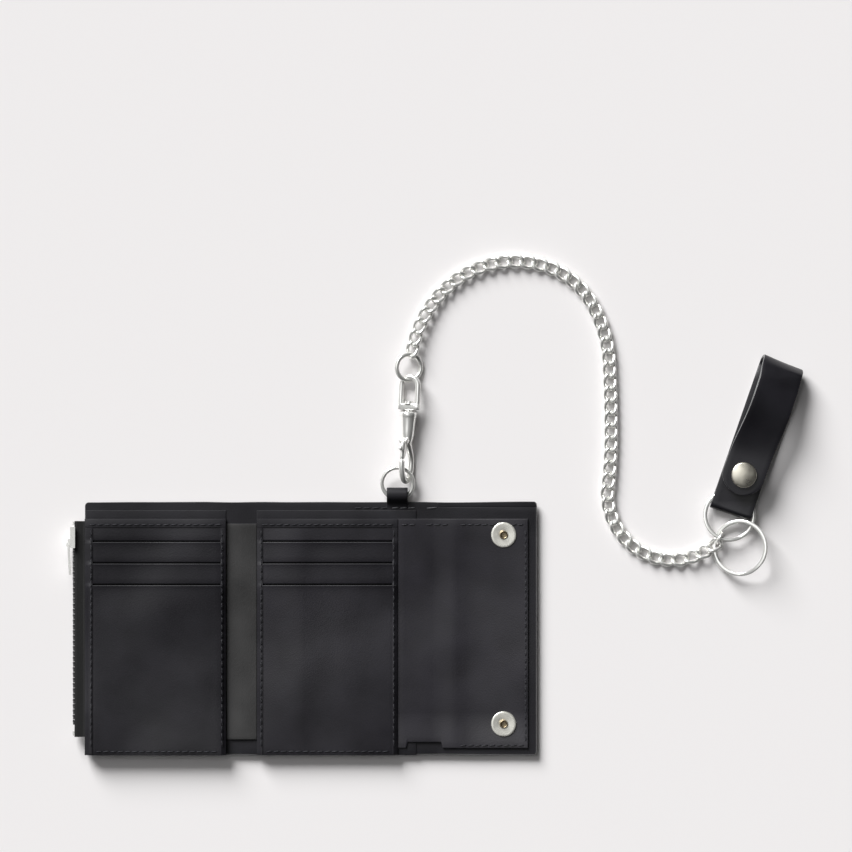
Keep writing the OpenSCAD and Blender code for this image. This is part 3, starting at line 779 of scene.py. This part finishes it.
def ribbon(name, path, across, half, thick, mats, edge=0.3, tip=None, lean=None):
    """A band along path.

    across is its width direction and half its half width. tip is a rounded end's reach, and lean gives a
    sideways shift and a roll in degrees for each point.
    """
    path = np.asarray(path, float)
    across = unit(across)
    tangent = np.gradient(path, axis=0)
    tangent /= np.linalg.norm(tangent, axis=1)[:, None]
    length = np.concatenate([[0], np.cumsum(np.linalg.norm(np.diff(path, axis=0), axis=1))])
    h = thick / 2
    rounding = ((0.0, 1.0), (0.12, 0.62), (0.35, 0.3), (0.7, 0.07), (1.0, 0.0))
    outline = [(s * edge, t * edge) for s, t in rounding]
    count = 9  # strips across the flat of the band
    verts = []
    for i, p in enumerate(path):
        shift, roll = lean[i] if lean else (0.0, 0.0)
        up = unit(np.cross(across, tangent[i]))
        c, d = math.cos(math.radians(roll)), math.sin(math.radians(roll))
        wide, up = across * c - up * d, up * c + across * d
        p = p + across * shift
        left = length[-1] - length[i]
        w = half
        if tip and left < tip:
            w = half * math.sqrt(max(0.02, 1 - (1 - left / tip) ** 2))
        inner = [(w - edge) * (2 * k / count - 1) for k in range(1, count)]
        upper = ([(-w + s, h - d) for s, d in outline] + [(y, h) for y in inner]
                 + [(w - s, h - d) for s, d in reversed(outline)])
        section = upper + [(y, -z) for y, z in reversed(upper)]
        verts += [p + wide * y + up * z for y, z in section]
    m = len(section)
    right_edge = 2 * len(outline) + count - 1
    rim = {0, 1, m - 2, m - 1} | set(range(right_edge - 2, right_edge + 2))
    faces = [q[::-1] for q in between(len(path), m) + end_caps(len(path), m)]
    index = [int(k in rim and (k + 1) % m in rim) for _ in path[1:] for k in range(m)] + [1, 1]
    return add(name, verts, faces, mats, index, sharp=60)


# the loop round the tab ring, sewn in under the panel
tab_x = (tab_lo[0] + tab_hi[0]) / 2
tab_w = (tab_hi[0] - tab_lo[0]) / 2
tab_z = joint("tab_ring_swing")[0][2]
loop_y, loop_r = tab_hi[1] - 2.9, 2.75
tab_t, top_y = 0.8, shell_y[1]
loop = [(tab_x, tab_lo[1] + 0.2, 0.95), (tab_x, top_y - 3.0, 0.98), (tab_x, top_y - 0.9, 1.2),
        (tab_x, top_y - 0.1, 1.9), (tab_x, top_y + 0.7, 3.0), (tab_x, top_y + 1.5, tab_z + 2.5)]
loop += [(tab_x, loop_y + loop_r * math.cos(a), tab_z + loop_r * math.sin(a))
         for a in np.radians(np.linspace(100, -100, 15))]
loop += [(tab_x, top_y + 1.4, tab_z - 2.4), (tab_x, top_y + 0.5, tab_z - 1.8)]
place(ribbon("ring_tab_leather", loop, (1, 0, 0), tab_w, tab_t, ["shell_leather", "edge"], 0.25),
      "center_panel", "shell_leather", "ring_tab")

# belt strap: one length of leather from the stud layer round the lower fold, up the back and over to the snap
pivot, hinge_axis = joint("strap_open")
up = np.array([0.0, 0.0, 1.0])
across = unit(hinge_axis * np.array([1, 1, 0]))
along = unit(np.cross(across, up))
c_stud = np.array(box("strap_stud")).mean(0)
if (pivot - c_stud) @ along < 0:
    along = -along
stud_to_end = 18.9  # from the stud back to the lower fold
strap_origin = np.array([*(c_stud[:2] - along[:2] * stud_to_end), 0.0])
thick = 1.6
floor_z = min(box(n)[0][2] for n in frame["nodes"])
low_z = floor_z + thick / 2
between_layers = 3.2
lower_z = low_z + between_layers + thick
socket_hi = box("strap_socket")[1]
flap_z = socket_hi[2] + thick / 2
hinge_s = (pivot - strap_origin) @ along
hinge_z = pivot[2]
top_s, top_r, low_r = hinge_s + 2, 4.4, (lower_z - low_z) / 2
peak = box("strap_flap")[1][2] - thick / 2
level_s, peak_s = 27, 50  # where the front layer starts to rise and where it is highest


def flap_height(s):
    """Height of the front layer's middle, s mm along the strap."""
    t = (hinge_s - s) / (hinge_s - peak_s) if s > peak_s else (s - level_s) / (peak_s - level_s)
    low = hinge_z if s > peak_s else flap_z
    return low + (peak - low) * soft(t, 0, 1)


track = [(26.8, lower_z)] + [(s, lower_z) for s in np.arange(25, low_r + 1, -2.5)]
track += [(low_r + 0.8 + low_r * math.cos(a), (low_z + lower_z) / 2 + low_r * math.sin(a))
          for a in np.radians(range(95, 270, 12))]
track += [(s, low_z) for s in np.arange(low_r + 3, top_s, 3.0)]
track += [(top_s + top_r * math.cos(a), low_z + top_r + top_r * math.sin(a))
          for a in np.radians(range(-85, 90, 10))]
track += [(s, flap_height(s)) for s in np.arange(hinge_s - 0.5, level_s, -1.6)]
tip_s = [13.4, 12.6, 12, 11.5, 11, 10.6, 10.3, 10.05, 9.85, 9.75]  # closer together round the tip
track += [(s, flap_z) for s in list(np.arange(26.5, 14, -1.5)) + tip_s]
strap_path = [strap_origin + along * s + up * z for s, z in track]
strap_half = 9.65
right = 1.0 if (across @ np.array([1.0, 0, 0])) > 0 else -1.0
lean = []  # the front layer lies a little askew of the back one
aside, turned = 1.5, 13
for s, z in track:
    k = soft(s, 24, 52) * soft(z, 1, 6) * (1.0 - 0.45 * soft(s, 62, 71))
    lean.append((right * aside * k, right * turned * k))
o = ribbon("strap_leather_band", strap_path, across, strap_half, thick - 0.04,
           ["strap_leather", "strap_edge"], 0.32, 9.0, lean)
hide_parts("belt_strap", "strap_flap")
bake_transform(o)


# ------------------------ snaps

def snap_cap(origin, axis):
    """A low dome with a rolled rim; the axis points out of the leather."""
    return lathe([(0.001, 2.0), (1.6, 1.96), (3.2, 1.8), (4.6, 1.5)] + arc(5.2, 0.75, 0.6, 75, -30, 8)
                 + [(5.3, 0.05), (1.4, 0.05), (1.4, -0.4), (0.001, -0.4)], origin, axis, 64)


def snap_stud(origin, axis):
    """Flange with a shallow dish and a rolled rim."""
    return lathe([(1.70, 0.34), (2.2, 0.42), (3.4, 0.50), (4.7, 0.56)] + arc(5.4, 0.22, 0.38, 80, -40, 7)
                 + [(5.3, 0.0), (1.70, 0.0)], origin, axis, 64, closed=True)


def snap_post(origin, axis):
    """Hollow post with a swollen head."""
    return lathe([(1.78, 0.3), (1.70, 1.0)] + arc(1.55, 1.7, 0.34, -30, 120, 8)
                 + [(1.18, 1.85), (1.05, 1.3), (1.0, 0.7), (0.001, 0.65)], origin, axis, 40)


def snap_socket(origin, axis):
    """Ring with a bore and a wire spring showing in it."""
    body = lathe([(2.15, 0.35), (2.15, 1.6), (2.6, 1.92)] + arc(4.7, 1.35, 0.6, 80, -20, 7)
                 + [(5.3, 0.3), (5.2, 0.04), (2.6, 0.04)], origin, axis, 56, closed=True)
    floor = lathe([(0.001, 0.25), (2.2, 0.25), (2.2, 0.1), (0.001, 0.1)], origin, axis, 40)
    u = unit(np.cross(axis, [0.2, 1, 0.1]))
    v = np.cross(axis, u)
    o = np.asarray(origin, float) + np.asarray(axis, float) * 1.25
    wires = [sweep([o + u * 2.05 * s + v * t for t in np.linspace(-1.5, 1.5, 5)], 0.16, 8) for s in (-1, 1)]
    return merge([body, floor] + wires)


def snaps(name, parts, finish, body, *nodes, sharp=50):
    piece(name, parts, finish, body, "snap_nickel", *nodes, sharp=sharp)


def centres(node, z):
    """The middle of each separate solid in a node, at height z."""
    return [np.array([*((p[:, :2].min(0) + p[:, :2].max(0)) / 2), z]) for p in loose_parts(node)]


studs = centres("snap_studs", box("snap_studs")[0][2])
snaps("snap_stud_flanges", [snap_stud(c, up) for c in studs], "snap_nickel", "flap", "snap_studs")
snaps("snap_stud_posts", [snap_post(c, up) for c in studs], "snap_brass", "flap", sharp=60)
snaps("snap_cap_domes", [snap_cap(c, -up) for c in centres("snap_studs", 0.0)], "cap_nickel", "flap",
      "snap_caps", sharp=60)
snaps("snap_socket_rings", [snap_socket(c, -up) for c in centres("snap_sockets", 0.0)], "snap_nickel",
      "left_panel", "snap_sockets")

on_strap = [np.array([*c_stud[:2], z]) for z in (box("strap_stud")[0][2], socket_hi[2], flap_z + thick / 2)]
snaps("strap_stud_metal", [snap_stud(on_strap[0], up), snap_post(on_strap[0], up)], "snap_nickel",
      "belt_strap", "strap_stud")
snaps("strap_socket_metal", [snap_socket(on_strap[1], -up)], "snap_nickel", "strap_flap", "strap_socket")
snaps("strap_cap_dome", [snap_cap(on_strap[2], up)], "cap_nickel", "strap_flap", "strap_cap", sharp=60)


# ------------------------ rings

def plain_ring(node, body, name, stout=1.0):
    """A ring of round wire, stout times the CAD's, with a fine butt joint in it."""
    c, a, outer, wire = ring_of(node)
    wire *= stout
    r = outer - wire / 2
    pts, rad = [], []
    for t in np.linspace(0, 2 * math.pi, 97)[:-1]:
        pts.append(c + (a[0] * math.cos(t) + a[1] * math.sin(t)) * r)
        rad.append(wire / 2 * (0.93 if t < 0.03 else 1.0))
    nickel(name, [sweep(pts, rad, 16, normal=a[2], closed=True)], body, node)


def squarish(v, power):
    """v bent towards 1 or -1, which turns a circle into a rounded square."""
    return math.copysign(abs(v) ** power, v)


def split_ring(node, body, name, start=0.0):
    """Two turns of half-round wire side by side, crossing over once."""
    c, a, outer, wire = ring_of(node)
    r = outer - wire / 2
    half_w, half_t = wire / 2, wire / 4 * 0.94
    first, last = math.radians(22), math.radians(698)
    verts = []
    n, m = 220, 12  # steps along the wire and round it
    for i in range(n + 1):
        th = first + (last - first) * i / n
        z = -wire / 4 + wire / 2 * soft(th, math.radians(338), math.radians(382))
        at = th + start
        radial = a[0] * math.cos(at) + a[1] * math.sin(at)
        centre = c + radial * r + a[2] * z
        end = min(1.0, (i + 0.35) / 6, (n - i + 0.35) / 6)
        for k in range(m):
            w = 2 * math.pi * k / m
            x, y = squarish(math.cos(w), 0.8), squarish(math.sin(w), 0.8)
            verts.append(centre + radial * half_w * x * (0.7 + 0.3 * end) + a[2] * half_t * y * end)
    faces = [q[::-1] for q in between(n + 1, m) + end_caps(n + 1, m)]
    nickel(name, [(verts, faces)], body, node, sharp=50)


plain_ring("tab_ring", "tab_ring", "tab_ring_wire")
plain_ring("jump_ring", "jump_ring", "jump_ring_wire", stout=1.2)
plain_ring("chain_end_ring", "chain_end_ring", "chain_end_ring_wire")
split_ring("strap_ring", "strap_ring", "strap_split_ring", 2.1)
split_ring("key_ring", "key_ring", "key_split_ring", 4.6)

# ------------------------ curb chain

link_wire, fuller = 1.66, 1.10  # both a little more than the CAD's wire and link width
for body in sorted(b for b in frame["bodies"] if b.startswith("chain_") and b[-2:].isdigit()):
    node = "chain_links_" + body[-2:]
    parts = []
    for p in loose_parts(node):
        c, a = axes_of(p)
        q = (p - c) @ a.T
        half_l = np.ptp(q[:, 0]) / 2 - link_wire / 2
        half_w = fuller * np.ptp(q[:, 1]) / 2 - link_wire / 2
        # the twist's hand is read from the link itself
        high = q[q[:, 2] > q[:, 2].max() - 0.4]
        twist = 0.95 * (1.0 if (high[:, 0] * high[:, 1]).sum() > 0 else -1.0)
        centre_line = [c + np.array([half_l * math.cos(t), half_w * math.sin(t), twist * math.sin(2 * t)]) @ a
                       for t in np.linspace(0, 2 * math.pi, 41)[:-1]]
        parts.append(sweep(centre_line, link_wire / 2, 12, normal=a[2], closed=True))
    nickel("curb_links_" + body[-2:], parts, body, node)

# ------------------------ snap hook and swivel

swivel_at, stem = joint("swivel_turn")
gate_at, gate_axis = joint("gate_press")
hy, hz = unit(stem), unit(gate_axis)
hx = unit(np.cross(hy, hz))
H = np.array([hx, hy, hz])
h0 = swivel_at - 25.6 * hy  # the hook's own origin, at the middle of its bow


def hook(x, y, z=0.0):
    """A point in the hook's axes: x across, y up the stem, z out of its plane."""
    return h0 + np.array([x, y, z], float) @ H


pin_x, pin_y = (gate_at - h0) @ hx, (gate_at - h0) @ hy
bar_x, bar_top, curl, bar_r = 4.1, 9.5, 7.95, 1.35
stem_profile = [(0.001, 8.3), (1.4, 8.4), (1.95, 9.1), (2.35, 10.4), (2.8, 12.4), (3.0, 14.2), (3.15, 16.0),
                (3.4, 19.0), (3.6, 20.5), (3.7, 21.1), (3.85, 21.4), (3.9, 22.4), (3.8, 22.9), (3.5, 23.35),
                (2.6, 23.4), (1.25, 23.4), (1.2, 21.2)]
body_parts = [lathe(stem_profile, h0, hy, 56)]
line, rad = [], []
straight, steps = 0.4, 44  # share of the bar before the curl
for i in range(steps + 1):
    t = i / steps
    if t < straight:
        q = (bar_x * math.sin(math.pi / 2 * t / straight), bar_top * (1 - t / straight))
        r = bar_r * (1.0 + 0.4 * (1 - t / straight) ** 2)
    else:
        a = math.pi * (t - straight) / (1 - straight)
        q = (bar_x * math.cos(a), -curl * math.sin(a))
        r = bar_r * (1.0 + 0.06 * math.sin(a))
    line.append(hook(*q))
    rad.append(r if i < steps else bar_r)
for y, r in ((0.6, 1.0), (1.1, 0.9), (1.35, 0.7), (1.45, 0.35)):
    line.append(hook(-bar_x, y))
    rad.append(bar_r * r)
body_parts.append(sweep(line, rad, 20, normal=hz))
ear_z, ear_t = 1.3, 0.75
ear_profile = [(0.001, 0), (1.2, 0), (1.3, 0.1), (1.3, ear_t - 0.15), (1.1, ear_t), (0.001, ear_t)]
for s in (-1, 1):
    ear_mid = s * (ear_z + ear_t / 2)
    body_parts.append(lathe(ear_profile, hook(pin_x, pin_y, s * ear_z), hz * s, 28))
    body_parts.append(sweep([hook(pin_x, pin_y, ear_mid), hook(-0.6, pin_y + 0.2, ear_mid)],
                            ear_t / 2, 10, normal=hz))
nickel("hook_casting", body_parts, "hook", "hook_body", sharp=60)

# height, middle, half width and half depth of the lever, from its heel to its nose
lever = ((11.4, -2.6, 0.9, 0.7), (10.9, -2.6, 1.25, 1.0), (9.6, -2.75, 1.5, 1.12), (8.0, -2.9, 1.75, 1.12),
         (6.4, -3.0, 1.95, 1.1), (4.8, -3.15, 1.9, 1.05), (3.2, -3.45, 1.6, 1.0), (2.1, -3.8, 1.25, 0.95),
         (1.7, -3.95, 0.8, 0.7))
m = 20
gate_verts = [hook(x + wide * math.cos(w), y, deep * math.sin(w)) for y, x, wide, deep in lever
              for w in np.linspace(0, 2 * math.pi, m + 1)[:-1]]
gate_faces = between(len(lever), m) + end_caps(len(lever), m)
thumb = blob(hook(-5.0, 6.7), (1.3, 1.25, 1.0), H, 10)
nickel("hook_gate_lever", [(gate_verts, gate_faces), thumb], "hook_gate", "hook_gate", sharp=60)

# the stirrup: its frame comes from the jump ring's pivot, whose axis is square to it
_, normal = joint("jump_ring_swing")
fz = unit(normal)
fx = unit(np.cross(hy, fz))
half, bar, arch_y = 4.1, 1.25, 9.7


def eye(x, y, z=0.0):
    """A point in the stirrup's axes, from the swivel's pivot."""
    return swivel_at + fx * x + hy * y + fz * z


arch = [eye(half, -0.2)] + [eye(half, y) for y in (1.5, 4, 6.5, 8.8)]
arch += [eye(half * math.cos(t), arch_y + half * math.sin(t)) for t in np.linspace(0, math.pi, 25)]
arch += [eye(-half, y) for y in (8.8, 6.5, 4, 1.5, -0.2)]
stirrup = [sweep(arch, bar, 18, normal=fz)]
# base plate with rounded ends and a bored boss
bore, base_low, base_high = 1.21, -1.2, 1.4
turns = np.linspace(0, 2 * math.pi, 41)[:-1]
outline = [(squarish(math.cos(t), 0.45) * (half + bar), squarish(math.sin(t), 0.55) * 1.5) for t in turns]
outer = [eye(x * k, y, z * k) for k, y in ((0.9, base_low), (1.0, -0.95), (1.0, 1.1), (0.93, base_high))
         for x, z in outline]
inner = [eye(bore * math.cos(t), y, bore * math.sin(t)) for y in (base_high, base_low) for t in turns]
stirrup.append((outer + inner, between(6, len(outline), closed=True)))
boss_profile = [(1.22, 1.35), (2.2, 1.35), (2.3, 1.5), (2.1, 1.62), (1.22, 1.62)]
stirrup.append(lathe(boss_profile, swivel_at, hy, 32, closed=True))
nickel("swivel_stirrup", stirrup, "swivel_eye", "swivel_eye", sharp=55)

# ------------------------ zip

lo_t, hi_t = box("zip_teeth")
teeth = []
for p in loose_parts("zip_teeth"):
    lo, hi = p.min(0), p.max(0)
    c, h = (lo + hi) / 2, (hi - lo) / 2
    head = 1 if c[2] < (lo_t[2] + hi_t[2]) / 2 else -1  # the side whose corners are drawn in
    corners = [c + h * (sx, sy * wide * (0.75 if sz == head else 1.0), sz * wide)
               for sx, wide in ((-1, 0.72), (-0.6, 1.0), (0.7, 1.0), (1, 0.8))
               for sy, sz in ((-1, -1), (1, -1), (1, 1), (-1, 1))]
    teeth.append((corners, between(4, 4) + end_caps(4, 4)))
piece("zip_teeth_metal", teeth, "zip_dark", "left_panel", "zip_metal", "zip_teeth", smooth=False)

# ------------------------ CAD nodes that are shown as they are

# slot, and the bevel's width in mm
kept = {
    "coin_pocket_back": ("lining_fabric", 0), "coin_pocket_gusset": ("lining_fabric", 0),
    "zip_tape_back": ("zip_tape", 0), "zip_tape_front": ("zip_tape", 0),
    "zip_top_stop": ("zip_metal", 0.15), "zip_bottom_stop": ("zip_metal", 0.15),
    "zip_slider": ("zip_metal", 0.22), "zip_pull": ("zip_metal", 0.2),
    "snap_socket_posts": ("snap_nickel", 0.1), "gate_pin": ("chain_nickel", 0.1),
    "swivel_pin": ("chain_nickel", 0.15), "strap_back_rivet": ("snap_nickel", 0.1),
}
for n, (slot, round_mm) in kept.items():
    o = frame["nodes"][n]
    o.data.materials.clear()
    o.data.materials.append(M[slot])
    if round_mm:
        mod = o.modifiers.new("round", "BEVEL")
        mod.width = round_mm * MM
        mod.segments = 3
        mod.limit_method = "ANGLE"

# ------------------------ floor, light and camera

mesh = bpy.data.meshes.new("floor")
reach = 3000.0
square = [(-reach, -reach), (reach, -reach), (reach, reach), (-reach, reach)]
mesh.from_pydata([(x * MM, y * MM, floor_z * MM) for x, y in square], [], [(0, 1, 2, 3)])
floor = bpy.data.objects.new("floor", mesh)
bpy.context.scene.collection.objects.link(floor)
m, t, b = material("floor_paper")
b.inputs["Base Color"].default_value = (0.80, 0.782, 0.782, 1)
b.inputs["Roughness"].default_value = 0.9
b.inputs["Specular IOR Level"].default_value = 0.1
mesh.materials.append(m)

world = bpy.data.worlds.new("studio")
bpy.context.scene.world = world
world.use_nodes = True
wt = world.node_tree
coord = wt.nodes.new("ShaderNodeTexCoord")
toward = wt.nodes.new("ShaderNodeVectorMath")
toward.operation = "DOT_PRODUCT"
toward.inputs[1].default_value = unit([-0.30, 0.17, 0.94])  # the middle of the bright patch of sky
wt.links.new(coord.outputs["Generated"], toward.inputs[0])
sky_stops = [(0.0, (0.02,)), (0.60, (0.03,)), (0.86, (0.10,)), (0.95, (0.60,)), (0.99, (1.5,))]
sky = ramp(wt, toward.outputs["Value"], sky_stops)
wt.links.new(sky, wt.nodes["Background"].inputs["Color"])


def sun(name, azimuth, elevation, strength, angle):
    """A sun lamp; azimuth is from +X towards +Y, and angle is the width of its disc, all in degrees."""
    data = bpy.data.lights.new(name, "SUN")
    data.energy = strength
    data.angle = math.radians(angle)
    o = bpy.data.objects.new(name, data)
    bpy.context.scene.collection.objects.link(o)
    a, e = math.radians(azimuth), math.radians(elevation)
    towards = Vector((math.cos(a) * math.cos(e), math.sin(a) * math.cos(e), math.sin(e)))
    o.rotation_mode = "QUATERNION"
    o.rotation_quaternion = towards.to_track_quat("Z", "Y")


sun("key_light", 122, 30, 5.55, 34)

camera_at = (42.3, 92.0, 3228.0)  # the photo looks straight down from here
camera_data = bpy.data.cameras.new("camera")
camera_data.lens = 300
camera_data.sensor_width = 36
camera_data.clip_end = 10
camera = bpy.data.objects.new("camera", camera_data)
camera.location = [c * MM for c in camera_at]
bpy.context.scene.collection.objects.link(camera)
bpy.context.scene.camera = camera
bpy.context.scene.view_settings.view_transform = "Standard"
